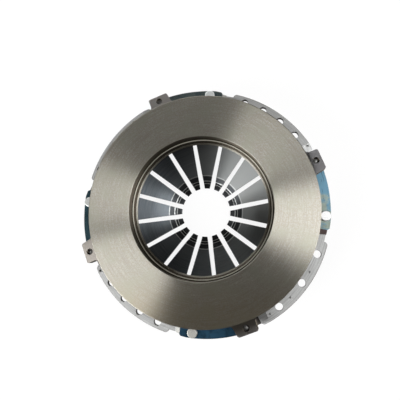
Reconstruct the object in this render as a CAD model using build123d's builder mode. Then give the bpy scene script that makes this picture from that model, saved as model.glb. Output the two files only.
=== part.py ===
"""Diaphragm clutch cover assembly of a heavy truck, with a 430 mm pressure plate.

Frame, in millimetres: Z is the clutch axis and +Z points at the flywheel. z = 0 is the face of the cover
flange that bolts to the flywheel. Angles are counter-clockwise from +X, seen from the flywheel side.
The pieces lie as they do before the cover is bolted down, with the plate pushed fully forward.
"""

import os
from math import asin, cos, degrees, radians, sin, tan

from build123d import *

os.makedirs("parts", exist_ok=True)

# Clearances
running_gap = 0.3
fit_gap = 0.05
swing_gap = 0.6
cut_margin = 1.0

# Layout shared by the cover and the plate
lug_count = 4
first_lug_angle = 20.9
friction_outer_r = 215.0
bolt_circle_reach = 10.0

# Friction ring of the pressure plate
friction_width = 81.0
face_height = 34.0
face_chamfer = 1.2
rim_thickness = 21.5
plate_thickness = 25.0
ledge_depth = 16.0
ledge_width = 3.7
bore_step = 9.3
land_width = 1.3
back_land = 1.5

# Fulcrum ridge on the back of the plate
ridge_inset = 6.0
ridge_crest_width = 8.0
ridge_foot_width = 16.0
ridge_segments = 16
ridge_shoulder = 6.0
vent_width = 16.0
vent_depth = 12.0

# Lugs of the plate
lug_reach = 21.0
lug_width = 38.0
lug_flare = 6.0
lug_root_depth = 12.0
lug_drop = 3.5
lug_root_fillet = 7.0
lug_corner = 2.0
lug_edge_chamfer = 0.8

# Drive straps
leaf_count = 4
leaf_thickness = 1.0
strap_width = 19.0
strap_step = 3.0
strap_rivet_angle = 25.3
strap_cover_overrun = 6.1
strap_lug_overrun = 3.8
leaf_stagger = 0.7
strap_corner = 5.0
strap_ramp_length = 56.0
strap_bend_r = 120.0

# Strap rivets
cover_rivet_shank_r = 6.0
cover_rivet_head_r = 9.4
cover_rivet_head = 3.5
cover_rivet_flat_r = 7.6
lug_rivet_shank_r = 4.6
lug_rivet_head_r = 8.2
lug_rivet_head = 3.6
lug_counterbore_r = 5.9
lug_counterbore_depth = 8.0
lug_rivet_tail_r = 5.4
lug_rivet_tail = 3.6

# Diaphragm spring
spring_rim_gap = 4.0
spring_thickness = 5.0
cone_angle = 15.0
pivot_depth = 24.0
finger_count = 16
first_slot_angle = 8.2
slot_tip_width = 9.8
slot_root_width = 7.8
eye_r = 7.0
tip_r = 52.0
tip_foot = 11.0
tip_step = 10.5
tip_drop = 6.5
tip_fall = 1.0
tip_bend_fillet = 5.0

# Pivot rings and their shouldered rivets
wire_r = 2.5
wire_split = 1.2
wire_seat_width = 4.4
wire_seat_height = 4.0
wire_seat_depth = 0.5
pivot_reach = 37.0
shoulder_r = 5.0
pivot_head_r = 11.0
pivot_head = 6.0
pivot_shank_r = 4.0
pivot_tail_r = 7.2
pivot_tail = 4.0

# Cast cover
flange_edge = 12.0
flange_thickness = 9.0
flange_chamfer = 0.6
neck_width = 17.0
bolt_inset = 12.0
bowl_wall = 7.0
bowl_draft = 3.0
floor_thickness = 12.0
rear_opening_edge = 11.0
rear_edge_fillet = 6.0
pad_start = 6.2
pad_end = 53.2
pad_corner = 6.0
notch_start = -9.0
pad_bevel = 5.0
pad_bevel_length = 16.0
bridge_drop = 3.5
seat_lip = 1.0
seat_foot = 33.0
seat_crest = 23.5
seat_back = 21.0
bearing_rim_offset = 17.0
bearing_rim_width = 8.0
bearing_rim_height = 13.5
rib_count = 16
rib_thickness = 6.0
rib_toe = 5.0
rib_inset = 2.0
rib_sink = 1.0
trough_depth = 12.0
trough_floor = 8.0
trough_wall = 2.5
trough_inset = 3.0
bolt_hole_r = 7.0
first_bolt = 17.0
last_bolt = 47.0
drill_point_r = 2.0
drill_point_depth = 3.0
drill_point_angles = (11.6, 23.5, 38.0)
corner_hole_r = 2.5
corner_hole_depth = 4.0
corner_hole_angle = 9.2
corner_hole_inset = 5.5

# Radii that follow from the sizes above
friction_inner_r = friction_outer_r - friction_width
bore_r = friction_inner_r - bore_step
lug_outer_r = friction_outer_r + lug_reach
lug_anchor_r = friction_outer_r - lug_root_depth
bolt_circle_r = friction_outer_r + bolt_circle_reach
flange_r = bolt_circle_r + flange_edge
bowl_outer_r = bolt_circle_r - bolt_inset
bowl_inner_r = bowl_outer_r - bowl_wall
bowl_floor_r = bowl_inner_r - bowl_draft
bowl_back_r = bowl_outer_r - bowl_draft
neck_r = bowl_outer_r + neck_width
body_r = bowl_floor_r - swing_gap
spring_outer_r = bowl_floor_r - spring_rim_gap
ridge_r = spring_outer_r - ridge_inset
pivot_rivet_circle_r = ridge_r - pivot_reach
pivot_r = pivot_rivet_circle_r + shoulder_r + wire_r + fit_gap
tip_foot_r = tip_r + tip_foot
tip_bend_r = tip_foot_r + tip_step
rear_opening_r = pivot_rivet_circle_r - rear_opening_edge
bearing_rim_r = pivot_rivet_circle_r + bearing_rim_offset
bearing_inner_r = bearing_rim_r - bearing_rim_width / 2
bearing_outer_r = bearing_rim_r + bearing_rim_width / 2

# Heights that follow from the sizes above
slope = tan(radians(cone_angle))
half_spring = spring_thickness / 2 / cos(radians(cone_angle))
wire_offset = half_spring + (wire_r + fit_gap) / cos(radians(cone_angle))
front_wire_z = wire_offset - pivot_depth
rear_wire_z = -pivot_depth - wire_offset
wire_seat_z = rear_wire_z - wire_r + wire_seat_depth
floor_z = wire_seat_z - wire_seat_height
floor_back_z = floor_z - floor_thickness
rear_z = floor_back_z - bearing_rim_height
rim_bottom_z = face_height - rim_thickness
plate_back_z = face_height - plate_thickness
ledge_z = face_height - ledge_depth
land_z = plate_back_z + back_land
lug_face_z = face_height - lug_drop
pack_thickness = leaf_count * leaf_thickness + (leaf_count - 1) * fit_gap
lug_strap_z = rim_bottom_z - running_gap - pack_thickness
cover_strap_z = lug_strap_z - strap_step
lug_angles = [first_lug_angle + 360 / lug_count * i for i in range(lug_count)]

# Flange pads 1 and 3 have four bolt holes, and pads 2 and 4 have three
bolt_angles = []
for i, angle in enumerate(lug_angles):
    bolts = 4 - i % 2
    bolt_pitch = (last_bolt - first_bolt) / (bolts - 1)
    bolt_angles += [angle + first_bolt + bolt_pitch * j for j in range(bolts)]
drill_angles = [angle + point for angle in lug_angles[1::2] for point in drill_point_angles]
corner_hole_angles = [angle + corner_hole_angle for angle in lug_angles[::2]]


def spring_height(radius):
    """Height of the spring's middle surface on its cone."""
    return (radius - pivot_r) * slope - pivot_depth


def on_circle(radius, angle, height=0.0):
    """Location at a radius and angle, with its X axis pointing outwards."""
    place = (radius * cos(radians(angle)), radius * sin(radians(angle)), height)
    return Location(place, (0, 0, angle))


def side_plane(angle):
    """Plane whose X runs along the rim at an angle, whose Y is up and whose normal points outwards."""
    outwards = (cos(radians(angle)), sin(radians(angle)), 0)
    along = (-sin(radians(angle)), cos(radians(angle)), 0)
    return Plane(origin=(0, 0, 0), x_dir=along, z_dir=outwards)


def radial_plane(angle, radius=0.0):
    """Upright plane with its origin at a radius, whose X runs outwards at an angle and whose Y is up."""
    outwards = Vector(cos(radians(angle)), sin(radians(angle)), 0)
    return Plane(origin=outwards * radius, x_dir=outwards, z_dir=outwards.cross(Vector(0, 0, 1)))


def is_lug_root(corner):
    """Whether a corner of the lug outline is where a lug leaves the round rim."""
    radius = (corner.X**2 + corner.Y**2) ** 0.5
    across = [abs(corner.Y * cos(radians(a)) - corner.X * sin(radians(a))) for a in lug_angles]
    return abs(radius - friction_outer_r) < fit_gap and min(across) < lug_width


def on_outside(edge, radius):
    """Whether the middle of an edge lies further out than a radius."""
    middle = edge.center()
    return (middle.X**2 + middle.Y**2) ** 0.5 > radius


def sector(inner_r, outer_r, start, end):
    """Face of a ring sector between two radii and two angles."""
    with BuildSketch() as face:
        with BuildLine():
            outer = CenterArc((0, 0), outer_r, start, end - start)
            inner = CenterArc((0, 0), inner_r, start, end - start)
            Line(inner @ 0, outer @ 0)
            Line(inner @ 1, outer @ 1)
        make_face()
    return face.sketch


def turned_rivet(angle, shank_r, top, bottom):
    """Rivet on the bolt circle; an end is (seat height, head radius, signed height, radius of its flat)."""
    rivet_plane = radial_plane(angle, bolt_circle_r)
    with BuildPart() as rivet:
        with BuildSketch(rivet_plane):
            with BuildLine():
                for seat_height, head_r, head, flat_r in (top, bottom):
                    side_height = seat_height + head / 3
                    crown = seat_height + head
                    Polyline((shank_r, seat_height), (head_r, seat_height), (head_r, side_height))
                    run = head_r - flat_r
                    rise = crown - side_height
                    ball_r = (run**2 + rise**2) / (2 * rise)
                    half_way = crown - ball_r + ball_r * cos(asin(run / 2 / ball_r))
                    ThreePointArc((head_r, side_height), (flat_r + run / 2, half_way), (flat_r, crown))
                    if flat_r > 0:
                        Line((flat_r, crown), (0, crown))
                Line((shank_r, top[0]), (shank_r, bottom[0]))
                Line((0, top[0] + top[2]), (0, bottom[0] + bottom[2]))
            make_face()
        revolve(axis=Axis(rivet_plane.origin, (0, 0, 1)))
    return rivet.part


def save(piece, name):
    """Label a finished piece and write it as parts/NAME.step."""
    piece.label = name
    export_step(piece, f"parts/{name}.step")


# Pressure plate: friction ring, stepped bore, rim and fulcrum ridge in one turned profile
ridge_crest_z = spring_height(ridge_r + ridge_crest_width / 2) + half_spring + running_gap
with BuildPart() as pressure_plate:
    with BuildSketch(Plane.XZ):
        with BuildLine():
            Polyline(
                (friction_inner_r, ledge_z),
                (friction_inner_r, face_height - face_chamfer),
                (friction_inner_r + face_chamfer, face_height),
                (friction_outer_r - face_chamfer, face_height),
                (friction_outer_r, face_height - face_chamfer),
                (friction_outer_r, rim_bottom_z),
                (body_r, rim_bottom_z),
                (body_r, plate_back_z - ridge_shoulder),
                (ridge_r + ridge_crest_width / 2, ridge_crest_z),
                (ridge_r - ridge_crest_width / 2, ridge_crest_z),
                (ridge_r - ridge_foot_width / 2, plate_back_z),
                (bore_r, plate_back_z),
                (bore_r, land_z - land_width),
                (bore_r + land_width, land_z),
                (bore_r + land_width + back_land, land_z),
                (friction_inner_r - ledge_width, ledge_z),
                close=True,
            )
        make_face()
    revolve(axis=Axis.Z)

    # Lugs with filleted roots and chamfered corners
    with BuildSketch(Plane.XY.offset(rim_bottom_z)) as lugs:
        Circle(friction_outer_r)
        with PolarLocations(0, lug_count, first_lug_angle):
            Polygon(
                (lug_anchor_r, -lug_width / 2 - lug_flare),
                (lug_outer_r, -lug_width / 2),
                (lug_outer_r, lug_width / 2),
                (lug_anchor_r, lug_width / 2),
                align=None,
            )
        roots = [v for v in lugs.vertices() if is_lug_root(v)]
        fillet(roots, lug_root_fillet)
        corners = [v for v in lugs.vertices() if (v.X**2 + v.Y**2) ** 0.5 > lug_outer_r]
        chamfer(corners, lug_corner)
        Circle(lug_anchor_r, mode=Mode.SUBTRACT)
    extrude(amount=lug_face_z - rim_bottom_z)
    lug_rims = pressure_plate.edges().filter_by_position(Axis.Z, lug_face_z, lug_face_z)
    chamfer([e for e in lug_rims if on_outside(e, lug_outer_r - lug_corner)], lug_edge_chamfer)

    # Counterbored rivet holes of the lugs
    with Locations(*[on_circle(bolt_circle_r, a, lug_face_z) for a in lug_angles]):
        CounterBoreHole(lug_rivet_shank_r + fit_gap, lug_counterbore_r, lug_counterbore_depth)

    # Air gaps that split the fulcrum ridge
    with BuildSketch(Plane.XY.offset(ridge_crest_z)):
        with PolarLocations(ridge_r, ridge_segments, first_slot_angle):
            Rectangle(ridge_foot_width * 2, vent_width)
    extrude(amount=vent_depth, mode=Mode.SUBTRACT)
save(pressure_plate.part, "pressure_plate")

# Diaphragm spring: a cone of even thickness with stepped tips, slotted into fingers
bend_z = spring_height(tip_bend_r)
foot_z = bend_z - tip_drop
with BuildPart() as diaphragm_spring:
    with BuildSketch(Plane.XZ):
        with BuildLine():
            FilletPolyline(
                (spring_outer_r, spring_height(spring_outer_r)),
                (tip_bend_r, bend_z),
                (tip_foot_r, foot_z),
                (tip_r, foot_z - tip_fall),
                radius=tip_bend_fillet + spring_thickness / 2,
            )
            offset(amount=spring_thickness / 2, kind=Kind.INTERSECTION, side=Side.BOTH)
        make_face()
    revolve(axis=Axis.Z)

    # Slots, each ending in a round eye for its pivot rivet
    slot_start_r = tip_r - slot_tip_width
    with BuildSketch(Plane.XY.offset(rear_z)):
        with PolarLocations(0, finger_count, first_slot_angle):
            Polygon(
                (slot_start_r, -slot_tip_width / 2),
                (pivot_rivet_circle_r, -slot_root_width / 2),
                (pivot_rivet_circle_r, slot_root_width / 2),
                (slot_start_r, slot_tip_width / 2),
                align=None,
            )
            with Locations((pivot_rivet_circle_r, 0)):
                Circle(eye_r)
    extrude(amount=face_height - rear_z, mode=Mode.SUBTRACT)
save(diaphragm_spring.part, "diaphragm_spring")

# Pivot rings: split rings of round wire on both sides of the spring
for name, wire_z in (("pivot_ring_front", front_wire_z), ("pivot_ring_rear", rear_wire_z)):
    with BuildPart() as pivot_ring:
        with BuildSketch(Plane.XZ):
            with Locations((pivot_r, wire_z)):
                Circle(wire_r)
        revolve(axis=Axis.Z, revolution_arc=360 - wire_split)
    save(pivot_ring.part, name)

# Pivot rivets: shouldered rivets through the spring's eyes, riveted over behind the cover
pivot_head_z = front_wire_z + wire_r + fit_gap
with BuildPart() as pivot_rivets:
    with BuildSketch(Plane.XY.offset(pivot_head_z)):
        with PolarLocations(pivot_rivet_circle_r, finger_count, first_slot_angle):
            Circle(pivot_head_r)
    extrude(amount=pivot_head)
    fillet(pivot_rivets.edges().group_by(Axis.Z)[-1], pivot_head / 3)
    with BuildSketch(Plane.XY.offset(floor_z)):
        with PolarLocations(pivot_rivet_circle_r, finger_count, first_slot_angle):
            Circle(shoulder_r)
    extrude(amount=pivot_head_z - floor_z)
    with BuildSketch(Plane.XY.offset(floor_back_z)):
        with PolarLocations(pivot_rivet_circle_r, finger_count, first_slot_angle):
            Circle(pivot_shank_r)
    extrude(amount=floor_thickness)
    with BuildSketch(Plane.XY.offset(floor_back_z)):
        with PolarLocations(pivot_rivet_circle_r, finger_count, first_slot_angle):
            Circle(pivot_tail_r)
    extrude(amount=-pivot_tail)
    chamfer(pivot_rivets.edges().group_by(Axis.Z)[0], pivot_tail / 3)
save(pivot_rivets.part, "pivot_rivets")

# Drive straps: packs of flat spring leaves, stepped up from the cover seat to the lug
strap_reach = strap_width * 3 / 2
for pack, lug_angle in enumerate(lug_angles, 1):
    middle_angle = lug_angle - strap_rivet_angle / 2
    for leaf in range(leaf_count):
        low_z = cover_strap_z + leaf * (leaf_thickness + fit_gap)
        side = [
            (-bolt_circle_r / 2, low_z),
            (-strap_ramp_length / 2, low_z),
            (strap_ramp_length / 2, low_z + strap_step),
            (bolt_circle_r / 2, low_z + strap_step),
        ]
        with BuildPart() as drive_strap:
            with BuildSketch() as plan:
                add(
                    sector(
                        bolt_circle_r - strap_width / 2,
                        bolt_circle_r + strap_width / 2,
                        lug_angle - strap_rivet_angle - strap_cover_overrun + leaf * leaf_stagger,
                        lug_angle + strap_lug_overrun,
                    )
                )
                fillet(plan.vertices(), strap_corner)
                with Locations(on_circle(bolt_circle_r, lug_angle - strap_rivet_angle)):
                    Circle(cover_rivet_shank_r + fit_gap, mode=Mode.SUBTRACT)
                with Locations(on_circle(bolt_circle_r, lug_angle)):
                    Circle(lug_rivet_shank_r + running_gap, mode=Mode.SUBTRACT)
            extrude(amount=face_height)
            with BuildSketch(side_plane(middle_angle).offset(bolt_circle_r - strap_reach)):
                with BuildLine():
                    low = FilletPolyline(*side, radius=strap_bend_r)
                    high = FilletPolyline(*[(x, z + leaf_thickness) for x, z in side], radius=strap_bend_r)
                    Line(low @ 0, high @ 0)
                    Line(low @ 1, high @ 1)
                make_face()
            extrude(amount=strap_reach * 2, mode=Mode.INTERSECT)
        save(drive_strap.part, f"drive_strap_{pack}_leaf_{leaf + 1}")

# Strap rivets: flat heads on the cover's packs, domed ones under the lugs, set over at the far end
for number, lug_angle in enumerate(lug_angles, 1):
    strap_cover_rivet = turned_rivet(
        lug_angle - strap_rivet_angle,
        cover_rivet_shank_r,
        (cover_strap_z + pack_thickness + fit_gap, cover_rivet_head_r, cover_rivet_head, cover_rivet_flat_r),
        (-flange_thickness, cover_rivet_head_r, -cover_rivet_head, cover_rivet_flat_r),
    )
    save(strap_cover_rivet, f"strap_cover_rivet_{number}")
    strap_lug_rivet = turned_rivet(
        lug_angle,
        lug_rivet_shank_r,
        (lug_face_z - lug_counterbore_depth, lug_rivet_tail_r, lug_rivet_tail, 0),
        (lug_strap_z - running_gap, lug_rivet_head_r, -lug_rivet_head, 0),
    )
    save(strap_lug_rivet, f"strap_lug_rivet_{number}")

# Seat that lifts a strap pack off the cover, with a ramp up from the flange neck
seat_angle = first_lug_angle - strap_rivet_angle
seat_inner_r = bolt_circle_r - strap_width / 2 + fit_gap
seat_top_z = cover_strap_z - fit_gap
seat_span = degrees((seat_foot + seat_back) / bolt_circle_r)
with BuildPart() as strap_seat:
    with BuildSketch(Plane.XY.offset(-flange_thickness)):
        add(sector(seat_inner_r, neck_r + seat_lip, seat_angle - seat_span, seat_angle + seat_span))
    extrude(amount=flange_thickness + face_height)
    with BuildSketch(side_plane(seat_angle).offset(bolt_circle_r - strap_reach)):
        with BuildLine():
            Polyline(
                (-seat_foot, -flange_thickness),
                (-seat_foot, 0),
                (-seat_crest, seat_top_z),
                (seat_back - seat_top_z, seat_top_z),
                (seat_back, -bridge_drop),
                (seat_back, -flange_thickness),
                close=True,
            )
        make_face()
    extrude(amount=strap_reach * 2, mode=Mode.INTERSECT)

# Flange pads between the lugs, with a broken edge
with BuildPart() as flange_pads:
    with BuildSketch(Plane.XY.offset(-flange_thickness)) as pads:
        for lug_angle in lug_angles:
            add(sector(bowl_inner_r, flange_r, lug_angle + pad_start, lug_angle + pad_end))
        ends = [v for v in pads.vertices() if (v.X**2 + v.Y**2) ** 0.5 > neck_r]
        fillet(ends, pad_corner)
    extrude(amount=flange_thickness)
    pad_rims = flange_pads.edges().group_by(Axis.Z)[-1]
    chamfer([e for e in pad_rims if on_outside(e, bowl_inner_r + cut_margin)], flange_chamfer)

# Cover: cast bowl with a floor, a bearing rim and radial ribs behind, and a castellated flange
with BuildPart() as cover:
    with BuildSketch(Plane.XZ) as bowl:
        with BuildLine():
            Polyline(
                (bowl_inner_r, 0),
                (neck_r, 0),
                (neck_r, -flange_thickness),
                (bowl_outer_r, -flange_thickness),
                (bowl_back_r, floor_back_z),
                (bearing_outer_r, floor_back_z),
                (bearing_outer_r, rear_z),
                (bearing_inner_r, rear_z),
                (bearing_inner_r, floor_back_z),
                (rear_opening_r, floor_back_z),
                (rear_opening_r, floor_z),
                (pivot_r - wire_seat_width / 2, floor_z),
                (pivot_r - wire_seat_width / 2, wire_seat_z),
                (pivot_r + wire_seat_width / 2, wire_seat_z),
                (pivot_r + wire_seat_width / 2, floor_z),
                (bowl_floor_r, floor_z),
                close=True,
            )
        make_face()
        edge = [v for v in bowl.vertices() if v.X > bearing_outer_r + fit_gap and v.Y < floor_back_z + fit_gap]
        fillet(edge, rear_edge_fillet)
    revolve(axis=Axis.Z)
    add(flange_pads.part)
    with PolarLocations(0, lug_count):
        add(strap_seat.part)

    # Blocks under the lugs, which the troughs are cut into
    with BuildSketch(Plane.XY.offset(-trough_depth - trough_floor)):
        for lug_angle in lug_angles:
            ends = (lug_angle + notch_start - trough_wall, lug_angle + pad_start + trough_wall)
            add(sector(bowl_inner_r, flange_r - trough_inset, *ends))
    extrude(amount=trough_depth + trough_floor - flange_thickness / 2)

    # Ribs from the bearing rim to the wall
    for i in range(rib_count):
        rib_angle = first_slot_angle + 360 / rib_count * (i + 0.5)
        with BuildSketch(radial_plane(rib_angle)):
            with BuildLine():
                Polyline(
                    (bearing_rim_r, floor_back_z + rib_sink),
                    (bearing_rim_r, rear_z + rib_inset),
                    (bearing_rim_r + bearing_rim_width, rear_z + rib_inset),
                    (bowl_back_r, floor_back_z - rib_toe + rear_edge_fillet),
                    (bowl_back_r - rib_sink, floor_back_z + rear_edge_fillet + rib_sink),
                    close=True,
                )
            make_face()
        extrude(amount=rib_thickness / 2, both=True)

    for lug_angle in lug_angles:
        # Bridge under the free length of the strap
        bridge_start = lug_angle - strap_rivet_angle + degrees(seat_back / bolt_circle_r)
        with BuildSketch(Plane.XY.offset(-bridge_drop)):
            add(sector(bowl_floor_r, flange_r, bridge_start, lug_angle + notch_start))
        extrude(amount=bridge_drop * 2, mode=Mode.SUBTRACT)
        # Trough that clears the lug and its rivet
        with BuildSketch(Plane.XY.offset(-trough_depth)):
            add(sector(bowl_floor_r, flange_r + cut_margin, lug_angle + notch_start, lug_angle + pad_start))
        extrude(amount=trough_depth * 2, mode=Mode.SUBTRACT)
        # Bevel that leads onto the flange pad
        with BuildSketch(side_plane(lug_angle + pad_start).offset(bowl_floor_r)):
            with BuildLine():
                Polyline(
                    (-cut_margin, cut_margin),
                    (-cut_margin, -pad_bevel),
                    (0, -pad_bevel),
                    (pad_bevel_length, 0),
                    (pad_bevel_length, cut_margin),
                    close=True,
                )
            make_face()
        extrude(amount=flange_r + cut_margin - bowl_floor_r, mode=Mode.SUBTRACT)

    # Bolt holes, drill points and rivet holes
    with Locations(*[on_circle(bolt_circle_r, a) for a in bolt_angles]):
        Hole(bolt_hole_r, flange_thickness * 1.5)
    with Locations(*[on_circle(bolt_circle_r, a) for a in drill_angles]):
        Hole(drill_point_r, drill_point_depth)
    with Locations(*[on_circle(flange_r - corner_hole_inset, a) for a in corner_hole_angles]):
        Hole(corner_hole_r, corner_hole_depth)
    with Locations(*[on_circle(bolt_circle_r, a - strap_rivet_angle, seat_top_z) for a in lug_angles]):
        Hole(cover_rivet_shank_r + fit_gap, seat_top_z + flange_thickness + cut_margin)
    with Locations(Location((0, 0, floor_z))):
        with PolarLocations(pivot_rivet_circle_r, finger_count, first_slot_angle):
            Hole(pivot_shank_r + fit_gap, floor_thickness * 1.2)

    # Groove that seats the rear pivot ring
    with BuildSketch(Plane.XZ):
        with Locations((pivot_r, rear_wire_z)):
            Circle(wire_r + running_gap)
    revolve(axis=Axis.Z, mode=Mode.SUBTRACT)
save(cover.part, "cover")
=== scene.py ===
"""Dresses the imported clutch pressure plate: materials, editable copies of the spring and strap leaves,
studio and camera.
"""

from math import cos, radians, sin

import bmesh
import bpy
from mathutils import Matrix, Vector


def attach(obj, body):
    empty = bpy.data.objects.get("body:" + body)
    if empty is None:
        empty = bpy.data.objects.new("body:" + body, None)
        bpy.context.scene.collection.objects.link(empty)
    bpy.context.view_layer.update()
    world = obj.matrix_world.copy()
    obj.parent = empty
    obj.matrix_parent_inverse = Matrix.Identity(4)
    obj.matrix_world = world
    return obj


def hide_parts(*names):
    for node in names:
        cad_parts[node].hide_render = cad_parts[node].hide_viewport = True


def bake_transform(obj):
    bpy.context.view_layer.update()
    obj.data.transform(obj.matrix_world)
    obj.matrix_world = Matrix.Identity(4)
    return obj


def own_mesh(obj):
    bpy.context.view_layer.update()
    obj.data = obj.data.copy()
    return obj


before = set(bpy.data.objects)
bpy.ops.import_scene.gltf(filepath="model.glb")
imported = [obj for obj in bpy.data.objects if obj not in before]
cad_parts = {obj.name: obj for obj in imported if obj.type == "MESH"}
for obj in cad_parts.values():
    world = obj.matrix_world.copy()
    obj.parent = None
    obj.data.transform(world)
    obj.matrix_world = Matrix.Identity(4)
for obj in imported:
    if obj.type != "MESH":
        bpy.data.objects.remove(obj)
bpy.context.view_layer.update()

MM = 0.001

# Layout of the part, and the floor just under it
LUG_ANGLES = [20.9 + 90 * i for i in range(4)]
STRAP_RIVET_ANGLE = 25.3
BOLT_CIRCLE_R = 225 * MM
LEAF_COUNT = 4
FLOOR_Z = -60.8 * MM

# Share of each strap held at either end, and the stretches each leaf is cut into
CLAMPED_SHARE = 0.16
LEAF_LOOPS = 24

# Sockets of a colour mix node
MIX_A, MIX_B, MIX_RESULT = 6, 7, 2


def linear(*colour):
    """Scene-linear RGBA of a colour whose red, green and blue go from 0 to 255."""
    parts = [c / 255 for c in colour]
    return [c / 12.92 if c <= 0.04045 else ((c + 0.055) / 1.055) ** 2.4 for c in parts] + [1.0]


# Colours of the pressure plate
IRON_GREY = linear(152, 149, 141)
IRON_PALE = linear(186, 184, 178)
IRON_GRAIN = linear(156, 150, 138)
IRON_CLOUD = linear(160, 160, 147)
IRON_WARM = linear(150, 137, 112)
# Painted highlight on the rims of the friction face, standing in for light caught by their edges
IRON_RIM_HIGHLIGHT = linear(206, 203, 193)
# Lugs painted lighter or darker by where they stand: painted light and shade for how the lamps fall on
# each lug
LUG_PAINTED_LEFT = linear(150, 145, 139)
LUG_PAINTED_MIDDLE = linear(174, 170, 168)
LUG_PAINTED_RIGHT = linear(136, 135, 137)
LEDGE_BRIGHT = linear(200, 197, 184)
# Painted shade in the outer corner of the bore's ledge, beside its wall
LEDGE_PAINTED_SHADE = linear(46, 42, 32)
PLATE_CAST_DARK = linear(58, 53, 46)
PLATE_CAST_PALE = linear(88, 82, 72)

# Colours of the cover
COVER_CAST_DARK = linear(52, 48, 45)
COVER_CAST_PALE = linear(84, 78, 72)
COVER_PATCH = linear(92, 80, 72)
PAD_GREY = linear(136, 137, 136)
PAD_PALE = linear(182, 183, 183)
PAD_SPECK = linear(156, 156, 155)
SEAT_LEFT = linear(134, 134, 131)
SEAT_RIGHT = linear(112, 98, 96)

# Colours of the diaphragm spring
# Painted light and shade on the spring: darker outwards on the left as a painted shadow of the plate,
# lighter upwards on the right as a painted highlight
SPRING_PAINTED_LEFT_INNER = linear(89, 95, 100)
SPRING_PAINTED_SHADOW_LEFT_OUTER = linear(60, 65, 70)
SPRING_PAINTED_RIGHT_LOWER = linear(92, 96, 97)
SPRING_PAINTED_HIGHLIGHT_RIGHT_UPPER = linear(128, 130, 129)
SPRING_LINES = linear(128, 132, 134)
SPRING_TIPS = linear(52, 54, 56)
# Painted highlights on the bends of the spring's tips
SPRING_TIP_HIGHLIGHT = linear(176, 178, 177)

# Colours of the small pieces
PIVOT_DARK = linear(70, 66, 60)
PIVOT_PALE = linear(104, 99, 92)
# Painted shade for rivet shanks seen in their holes
SHANK_PAINTED_SHADE = linear(66, 60, 56)
# Zinc of the four cover rivets, each head set lighter or darker one by one as painted light for how it
# catches the lamps
COVER_RIVETS_PAINTED_LIGHT = ((192, 192, 193), (198, 202, 202), (170, 172, 170), (148, 147, 142))
# Zinc of the lug rivets, darkened as painted shade where their ends sit in the lug holes
LUG_RIVET_SHADED = (104, 104, 102)
FROST_LIFT = 28

# Each strap pack's blue, the shade of its stains, and the height in Y in mm below which it is stained
STRAP_FINISHES = (
    ((84, 118, 136), (120, 130, 122), 25),
    ((86, 100, 104), (104, 116, 116), 250),
    ((48, 72, 82), (60, 86, 95), 250),
    ((34, 62, 80), (44, 78, 102), 250),
)

# Length in mm over which the stains fade out below their height
STAIN_SOFTNESS = 6

# Heights in mm between which the shank of a cover rivet shows through the side of its hole, where it is
# painted dark as shade
SHANK_BOTTOM = -8.95
SHANK_TOP = 5.0

# Length in mm over which the painted shade on the shank fades at both ends
SHANK_SOFTNESS = 0.1

# Radii in mm of the painted highlights on the bends of the spring's tips, and half the width of each
# highlight line
TIP_HIGHLIGHT_RADII = (59.4, 64.4, 74.8)
TIP_LINE_CORE = 0.3
TIP_LINE_REACH = 0.9


class Tree:
    """A node tree whose nodes are added by short calls; values are numbers, colours or outputs."""

    def __init__(self, tree):
        self.nodes = tree.nodes
        self.links = tree.links

    def put(self, socket, value):
        """Links an output to an input, or sets the input to a number or colour."""
        if isinstance(value, bpy.types.NodeSocket):
            self.links.new(value, socket)
        else:
            socket.default_value = value

    def node(self, kind, *values):
        """New node whose first inputs take the values."""
        node = self.nodes.new(kind)
        for socket, value in zip(node.inputs, values):
            self.put(socket, value)
        return node

    def math(self, operation, *values):
        node = self.node("ShaderNodeMath", *values)
        node.operation = operation
        return node.outputs[0]

    def add(self, a, b):
        return self.math("ADD", a, b)

    def times(self, a, b):
        return self.math("MULTIPLY", a, b)

    def larger(self, a, b):
        return self.math("MAXIMUM", a, b)

    def remainder(self, share):
        """What a share leaves of one."""
        return self.math("SUBTRACT", 1.0, share)

    def split(self, vector):
        return self.node("ShaderNodeSeparateXYZ", vector).outputs

    def join(self, x, y, z):
        return self.node("ShaderNodeCombineXYZ", x, y, z).outputs[0]

    def band(self, value, low, high, start=0.0, end=1.0):
        """Smooth step from start to end while a value goes from low to high."""
        node = self.node("ShaderNodeMapRange", value, low, high, start, end)
        node.interpolation_type = "SMOOTHSTEP"
        return node.outputs[0]

    def mix(self, factor, a, b):
        """Blend of two colours."""
        node = self.node("ShaderNodeMix", factor)
        node.data_type = "RGBA"
        self.put(node.inputs[MIX_A], a)
        self.put(node.inputs[MIX_B], b)
        return node.outputs[MIX_RESULT]


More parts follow.
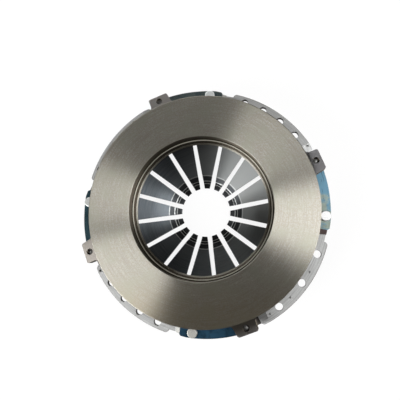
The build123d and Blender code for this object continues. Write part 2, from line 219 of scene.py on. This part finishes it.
class Surface(Tree):
    """A material on a Principled shader, with textures in the part's own frame."""

    def __init__(self, name, **inputs):
        self.material = bpy.data.materials.new(name)
        self.material.use_nodes = True
        super().__init__(self.material.node_tree)
        self.shader = self.nodes["Principled BSDF"]
        self.place = self.nodes.new("ShaderNodeTexCoord").outputs["Object"]
        self.shade(**inputs)

    def shade(self, **inputs):
        """Sets inputs of the shader; an underscore stands for a space in their names."""
        for name, value in inputs.items():
            self.put(self.shader.inputs[name.replace("_", " ")], value)

    def polar(self):
        """Outputs of x, y, height and radius about the clutch axis."""
        x, y, z = self.split(self.place)
        length = self.node("ShaderNodeVectorMath", self.join(x, y, 0.0))
        length.operation = "LENGTH"
        return x, y, z, length.outputs["Value"]

    def rise(self, length, low, high, start=0.0, end=1.0):
        """Smooth step up while a length goes from low to high, in mm."""
        return self.band(length, low * MM, high * MM, start, end)

    def fall(self, length, low, high, start=1.0, end=0.0):
        """Smooth step down while a length goes from low to high, in mm."""
        return self.band(length, low * MM, high * MM, start, end)

    def texture(self, vector, scale, detail, roughness):
        node = self.nodes.new("ShaderNodeTexNoise")
        self.put(node.inputs["Vector"], vector)
        node.inputs["Scale"].default_value = scale
        node.inputs["Detail"].default_value = detail
        node.inputs["Roughness"].default_value = roughness
        return node.outputs["Fac"]

    def noise(self, scale, detail, roughness):
        """Even noise over the part."""
        return self.texture(self.place, scale, detail, roughness)

    def turned(self, across, around, detail, roughness):
        """Noise drawn out around the clutch axis into lathe lines."""
        x, y, _, radius = self.polar()
        lathe = self.join(
            self.times(radius, across),
            self.times(self.math("DIVIDE", x, radius), around),
            self.times(self.math("DIVIDE", y, radius), around),
        )
        return self.texture(lathe, 1.0, detail, roughness)

    def normal_z(self):
        geometry = self.nodes.new("ShaderNodeNewGeometry")
        return self.split(geometry.outputs["Normal"])[2]

    def bump(self, height, strength, distance):
        """Relief of a height texture; the distance is in mm."""
        node = self.nodes.new("ShaderNodeBump")
        node.inputs["Strength"].default_value = strength
        node.inputs["Distance"].default_value = distance * MM
        self.put(node.inputs["Height"], height)
        self.shade(Normal=node.outputs[0])

    def radial_tangent(self):
        """Turns the stretched highlights around the clutch axis."""
        node = self.nodes.new("ShaderNodeTangent")
        node.direction_type = "RADIAL"
        node.axis = "Z"
        self.shade(Tangent=node.outputs[0])


def turned_iron():
    """Pressure plate: lathe-turned friction face and bore, milled lugs and an as-cast back."""
    g = Surface("turned_iron", Anisotropic=1.0, Anisotropic_Rotation=0.25)
    x, y, z, radius = g.polar()
    fine = g.turned(across=2600.0, around=3.0, detail=4.0, roughness=0.65)
    coarse = g.turned(across=520.0, around=4.0, detail=3.0, roughness=0.6)
    lines = g.add(g.times(fine, 0.6), g.times(coarse, 0.4))
    grain = g.noise(scale=420.0, detail=5.0, roughness=0.8)
    cloud = g.noise(scale=26.0, detail=4.0, roughness=0.6)
    face = g.mix(g.band(lines, 0.36, 0.64), IRON_GREY, IRON_PALE)
    face = g.mix(g.band(grain, 0.42, 0.58, end=0.85), face, IRON_GRAIN)
    face = g.mix(g.band(cloud, 0.4, 0.7, end=0.7), face, IRON_CLOUD)
    face = g.mix(g.fall(y, -200, -110, start=0.4), face, IRON_WARM)

    lug = g.rise(radius, 214.6, 215.2)
    # Each lug lighter or darker by its side, as painted light and shade
    lug_painted_light = g.mix(g.rise(x, -190, -110), LUG_PAINTED_LEFT, LUG_PAINTED_MIDDLE)
    lug_painted_light = g.mix(g.rise(x, 110, 190), lug_painted_light, LUG_PAINTED_RIGHT)
    machined = g.mix(lug, face, lug_painted_light)

    up = g.band(g.normal_z(), 0.5, 0.8)
    inside = g.fall(radius, 134.6, 135.0)
    ledge = g.times(up, g.times(inside, g.rise(radius, 127.0, 127.6)))
    machined = g.mix(g.times(ledge, 0.9), machined, LEDGE_BRIGHT)
    # Painted highlights along the inner and outer rims of the friction face
    inner_rim = g.fall(radius, 135.0, 135.5)
    outer_rim = g.rise(radius, 213.6, 214.0, end=0.3)
    rim_highlight = g.times(g.add(inner_rim, outer_rim), g.rise(z, 32.5, 32.8))
    machined = g.mix(rim_highlight, machined, IRON_RIM_HIGHLIGHT)
    # Painted shade in the outer corner of the ledge, beside the bore's wall
    ledge_corner_shade = g.times(ledge, g.rise(radius, 131.7, 132.3))
    machined = g.mix(ledge_corner_shade, machined, LEDGE_PAINTED_SHADE)

    front = g.times(up, g.larger(g.rise(z, 29, 30), inside))
    back = g.remainder(front)
    grit = g.noise(scale=900.0, detail=3.0, roughness=0.7)
    cast = g.mix(g.band(grit, 0.3, 0.7), PLATE_CAST_DARK, PLATE_CAST_PALE)
    g.shade(
        Base_Color=g.mix(front, cast, machined),
        Metallic=g.band(ledge, 0.0, 1.0, 1.0, 0.7),
        Roughness=g.add(g.band(lines, 0.2, 0.8, 0.42, 0.5), g.times(back, 0.1)),
    )
    g.bump(g.add(g.times(lines, front), g.times(grit, back)), strength=0.25, distance=0.05)
    g.radial_tangent()
    return g.material


def cast_cover():
    """Cover: dark cast body with machined flange pads, bevels and strap seats."""
    g = Surface("cast_cover", Specular_IOR_Level=0.4)
    x, _, z, _ = g.polar()
    grit = g.noise(scale=1100.0, detail=4.0, roughness=0.7)
    patch = g.noise(scale=30.0, detail=4.0, roughness=0.6)
    cast = g.mix(g.band(grit, 0.3, 0.7), COVER_CAST_DARK, COVER_CAST_PALE)
    cast = g.mix(g.band(patch, 0.45, 0.7, end=0.5), cast, COVER_PATCH)

    strokes = g.turned(across=900.0, around=5.0, detail=3.0, roughness=0.6)
    speck = g.noise(scale=500.0, detail=4.0, roughness=0.7)
    milled = g.mix(g.band(strokes, 0.3, 0.7), PAD_GREY, PAD_PALE)
    milled = g.mix(g.band(speck, 0.4, 0.65, end=0.8), milled, PAD_SPECK)
    seat = g.mix(g.rise(x, 100, 150), SEAT_LEFT, SEAT_RIGHT)
    milled = g.mix(g.rise(z, 0.3, 0.5), milled, seat)

    flat = g.band(g.normal_z(), 0.75, 0.85)
    pad = g.times(flat, g.rise(z, -5.6, -5.2))
    rough = g.times(g.remainder(pad), g.add(grit, patch))
    g.shade(
        Base_Color=g.mix(pad, cast, milled),
        Metallic=g.times(pad, 0.8),
        Roughness=g.band(pad, 0.0, 1.0, 0.68, 0.56),
    )
    g.bump(g.add(g.times(strokes, pad), rough), strength=0.3, distance=0.1)
    return g.material


def spring_steel():
    """Diaphragm spring: blackened spring steel, turned around the axis, with darker tips, painted light
    and shade across it and painted highlights on the tips' bends.
    """
    g = Surface("spring_steel", Anisotropic=0.85, Anisotropic_Rotation=0.25, Metallic=0.9)
    x, y, _, radius = g.polar()
    peened = g.noise(scale=900.0, detail=3.0, roughness=0.6)
    lines = g.turned(across=1800.0, around=2.0, detail=3.0, roughness=0.6)
    # Painted shadow on the left, darker outwards; painted highlight on the right, lighter upwards
    left = g.mix(g.rise(radius, 80, 118), SPRING_PAINTED_LEFT_INNER, SPRING_PAINTED_SHADOW_LEFT_OUTER)
    right = g.mix(g.rise(y, -60, 30), SPRING_PAINTED_RIGHT_LOWER, SPRING_PAINTED_HIGHLIGHT_RIGHT_UPPER)
    steel = g.mix(g.rise(x, -70, 70), left, right)
    steel = g.mix(g.band(lines, 0.3, 0.7, end=0.3), steel, SPRING_LINES)
    steel = g.mix(g.fall(radius, 72.5, 74.0), steel, SPRING_TIPS)
    # Painted highlight lines on the bends of the tips
    for edge in TIP_HIGHLIGHT_RADII:
        inner = g.rise(radius, edge - TIP_LINE_REACH, edge - TIP_LINE_CORE)
        outer = g.fall(radius, edge + TIP_LINE_CORE, edge + TIP_LINE_REACH)
        steel = g.mix(g.times(inner, outer), steel, SPRING_TIP_HIGHLIGHT)
    g.shade(Base_Color=steel, Roughness=g.band(peened, 0.2, 0.8, 0.36, 0.42))
    g.bump(g.add(peened, lines), strength=0.15, distance=0.04)
    g.radial_tangent()
    return g.material


def strap_steel(number, colour, mottle, stain_top):
    """Tempered blue strap steel; each pack is given its own shade, with stains below a height in Y."""
    g = Surface(f"strap_blue_{number}", Metallic=0.85)
    _, y, _, _ = g.polar()
    stain = g.noise(scale=60.0, detail=5.0, roughness=0.65)
    rolled = g.turned(across=900.0, around=6.0, detail=2.0, roughness=0.5)
    low = g.fall(y, stain_top - STAIN_SOFTNESS, stain_top)
    stained = g.times(g.band(stain, 0.36, 0.56), low)
    g.shade(
        Base_Color=g.mix(stained, linear(*colour), linear(*mottle)),
        Roughness=g.band(rolled, 0.2, 0.8, 0.26, 0.42),
    )
    g.bump(rolled, strength=0.12, distance=0.05)
    return g.material


def zinc(name, colour, shank_free=False):
    """Zinc-plated rivet; a shank that shows in its hole gets painted shade, as dark as the cast wall
    around it.
    """
    g = Surface(name, Metallic=0.7)
    _, _, z, _ = g.polar()
    frost = g.noise(scale=800.0, detail=3.0, roughness=0.6)
    frosted = [min(255, c + FROST_LIFT) for c in colour]
    plated = g.mix(g.band(frost, 0.3, 0.7), linear(*colour), linear(*frosted))
    g.shade(Base_Color=plated, Roughness=g.band(frost, 0.2, 0.8, 0.42, 0.55))
    if shank_free:
        # Painted shade on the shank where it shows through the side of its hole
        above = g.rise(z, SHANK_BOTTOM, SHANK_BOTTOM + SHANK_SOFTNESS)
        below = g.fall(z, SHANK_TOP - SHANK_SOFTNESS, SHANK_TOP)
        shank = g.times(above, below)
        g.shade(Base_Color=g.mix(shank, plated, SHANK_PAINTED_SHADE), Metallic=g.band(shank, 0.0, 1.0, 0.7, 0.0))
    g.bump(frost, strength=0.15, distance=0.05)
    return g.material


def pivot_steel():
    """Oiled steel of the pivot rings and pivot rivets."""
    g = Surface("pivot_steel", Metallic=0.9, Roughness=0.4)
    smear = g.noise(scale=240.0, detail=4.0, roughness=0.6)
    g.shade(Base_Color=g.mix(g.band(smear, 0.35, 0.65), PIVOT_DARK, PIVOT_PALE))
    g.bump(smear, strength=0.15, distance=0.06)
    return g.material


def paint(obj, material):
    """Gives every material slot of an object the same material."""
    if not obj.material_slots:
        obj.data.materials.append(material)
    for material_slot in obj.material_slots:
        material_slot.material = material


def copy_of(node, name, material):
    """An editable copy of a CAD node's mesh, in the same place, that stands for the node."""
    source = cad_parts[node]
    mesh = source.data.copy()
    mesh.name = name
    piece = bpy.data.objects.new(name, mesh)
    bpy.context.scene.collection.objects.link(piece)
    paint(piece, material)
    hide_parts(node)
    return piece


def on_bolt_circle(angle):
    """Point of the bolt circle at an angle in degrees."""
    return Vector((BOLT_CIRCLE_R * cos(radians(angle)), BOLT_CIRCLE_R * sin(radians(angle)), 0))


def add_loops(leaf, start, end):
    """Cuts a leaf across its length into short stretches, so that it bends smoothly."""
    mesh = bmesh.new()
    mesh.from_mesh(leaf.data)
    for loop in range(LEAF_LOOPS + 1):
        cut = start.lerp(end, loop / LEAF_LOOPS)
        geometry = mesh.verts[:] + mesh.edges[:] + mesh.faces[:]
        bmesh.ops.bisect_plane(mesh, geom=geometry, plane_co=cut, plane_no=end - start)
    mesh.to_mesh(leaf.data)
    mesh.free()


# Materials of the CAD nodes that keep their own shape
paint(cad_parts["pressure_plate"], turned_iron())
paint(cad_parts["cover"], cast_cover())
oiled = pivot_steel()
for node in ("pivot_ring_front", "pivot_ring_rear", "pivot_rivets"):
    paint(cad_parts[node], oiled)
for number, colour in enumerate(COVER_RIVETS_PAINTED_LIGHT, 1):
    cover_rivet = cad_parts[f"strap_cover_rivet_{number}"]
    lug_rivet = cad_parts[f"strap_lug_rivet_{number}"]
    paint(cover_rivet, zinc(f"zinc_cover_{number}", colour, shank_free=True))
    paint(lug_rivet, zinc(f"zinc_lug_{number}", LUG_RIVET_SHADED))

# Diaphragm spring, as an editable copy attached to the cover's body
spring = copy_of("diaphragm_spring", "spring_disc", spring_steel())
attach(spring, "cover_body")
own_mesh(spring)

# Strap leaves, each cut across into short stretches between the cover and the plate
for number, (lug_angle, finish) in enumerate(zip(LUG_ANGLES, STRAP_FINISHES), 1):
    material = strap_steel(number, *finish)
    cover_end = on_bolt_circle(lug_angle - STRAP_RIVET_ANGLE)
    lug_end = on_bolt_circle(lug_angle)
    start = cover_end.lerp(lug_end, CLAMPED_SHARE)
    end = cover_end.lerp(lug_end, 1 - CLAMPED_SHARE)
    for leaf_number in range(1, LEAF_COUNT + 1):
        leaf = copy_of(
            f"drive_strap_{number}_leaf_{leaf_number}",
            f"strap_{number}_leaf_{leaf_number}",
            material,
        )
        add_loops(leaf, start, end)
        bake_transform(leaf)

# Floor that looks white to the camera and in reflections, with a faint shadow near the part
FLOOR_REACH = 20
SHADOW_NEAR_R = 0.6
SHADOW_FAR_R = 1.6
NEAR_WHITENESS = 0.9
floor_corners = [
    (x * FLOOR_REACH, y * FLOOR_REACH, FLOOR_Z) for x, y in ((-1, -1), (1, -1), (1, 1), (-1, 1))
]
floor_mesh = bpy.data.meshes.new("floor")
floor_mesh.from_pydata(floor_corners, [], [(0, 1, 2, 3)])
floor = bpy.data.objects.new("floor", floor_mesh)
bpy.context.scene.collection.objects.link(floor)
ground = Surface("floor_white", Roughness=0.9, Base_Color=linear(235, 235, 235))
rays = ground.nodes.new("ShaderNodeLightPath").outputs
seen = ground.larger(rays["Is Camera Ray"], rays["Is Glossy Ray"])
seen = ground.larger(seen, rays["Is Transmission Ray"])
_, _, _, floor_radius = ground.polar()
shadow_end = ground.band(floor_radius, SHADOW_NEAR_R, SHADOW_FAR_R, start=NEAR_WHITENESS)
whiteness = ground.times(seen, shadow_end)
glow = ground.nodes.new("ShaderNodeEmission")
glow.inputs["Strength"].default_value = 1.0
mixed = ground.node("ShaderNodeMixShader", whiteness, ground.shader.outputs[0], glow.outputs[0])
ground.put(ground.nodes["Material Output"].inputs["Surface"], mixed.outputs[0])
floor.data.materials.append(ground.material)

# World: a dim studio, paler at the horizon, that the camera sees as white
HORIZON_TOP = 0.2
CEILING_BOTTOM = 0.6
HORIZON_LIGHT = 0.2
CEILING_LIGHT = 0.06
STUDIO_TINT = (1.0, 0.9, 0.74, 1.0)
BLACK = (0.0, 0.0, 0.0, 1.0)
WHITE = (1.0, 1.0, 1.0, 1.0)
world = bpy.data.worlds.new("studio")
world.use_nodes = True
bpy.context.scene.world = world
sky = Tree(world.node_tree)
upwards = sky.split(sky.nodes.new("ShaderNodeTexCoord").outputs["Generated"])[2]
brightness = sky.band(upwards, HORIZON_TOP, CEILING_BOTTOM, HORIZON_LIGHT, CEILING_LIGHT)
studio = sky.mix(brightness, BLACK, STUDIO_TINT)
camera_ray = sky.nodes.new("ShaderNodeLightPath").outputs["Is Camera Ray"]
sky.put(sky.nodes["Background"].inputs["Color"], sky.mix(camera_ray, studio, WHITE))

LAMP_DISTANCE = 1.6


def lamp(name, azimuth, elevation, width, height, watts):
    """Soft lamp aimed at the origin; azimuth is counter-clockwise from +X."""
    light = bpy.data.lights.new(name, "AREA")
    light.shape = "RECTANGLE"
    light.size = width
    light.size_y = height
    light.energy = watts
    obj = bpy.data.objects.new(name, light)
    bpy.context.scene.collection.objects.link(obj)
    a, e = radians(azimuth), radians(elevation)
    toward = Vector((cos(a) * cos(e), sin(a) * cos(e), sin(e)))
    obj.location = toward * LAMP_DISTANCE
    obj.rotation_euler = toward.to_track_quat("Z", "Y").to_euler()


lamp("lamp_left", azimuth=211, elevation=30, width=1.2, height=1.0, watts=42)
lamp("lamp_right", azimuth=0, elevation=51, width=0.85, height=0.75, watts=25)
lamp("lamp_back", azimuth=114, elevation=15, width=1.9, height=0.4, watts=20)

# Camera fitted to the photograph: its principal point lies up and left of the middle
EYE = Vector((0.10861, -0.08758, 0.74312))
AIM = Vector((-0.01196, 0.03875, 0.0))
FOCAL_PIXELS = 395.17
PRINCIPAL = (196.0, 189.43)
PICTURE = 400
SENSOR_WIDTH = 36
camera_data = bpy.data.cameras.new("camera")
camera_data.sensor_width = SENSOR_WIDTH
camera_data.lens = FOCAL_PIXELS / PICTURE * SENSOR_WIDTH
camera_data.shift_x = (PICTURE / 2 - PRINCIPAL[0]) / PICTURE
camera_data.shift_y = (PRINCIPAL[1] - PICTURE / 2) / PICTURE
camera = bpy.data.objects.new("camera", camera_data)
bpy.context.scene.collection.objects.link(camera)
forward = (AIM - EYE).normalized()
right = forward.cross(Vector((0, 1, 0))).normalized()
upward = right.cross(forward)
camera.matrix_world = Matrix.Translation(EYE) @ Matrix((right, upward, -forward)).transposed().to_4x4()
bpy.context.scene.camera = camera
bpy.context.scene.view_settings.view_transform = "Standard"
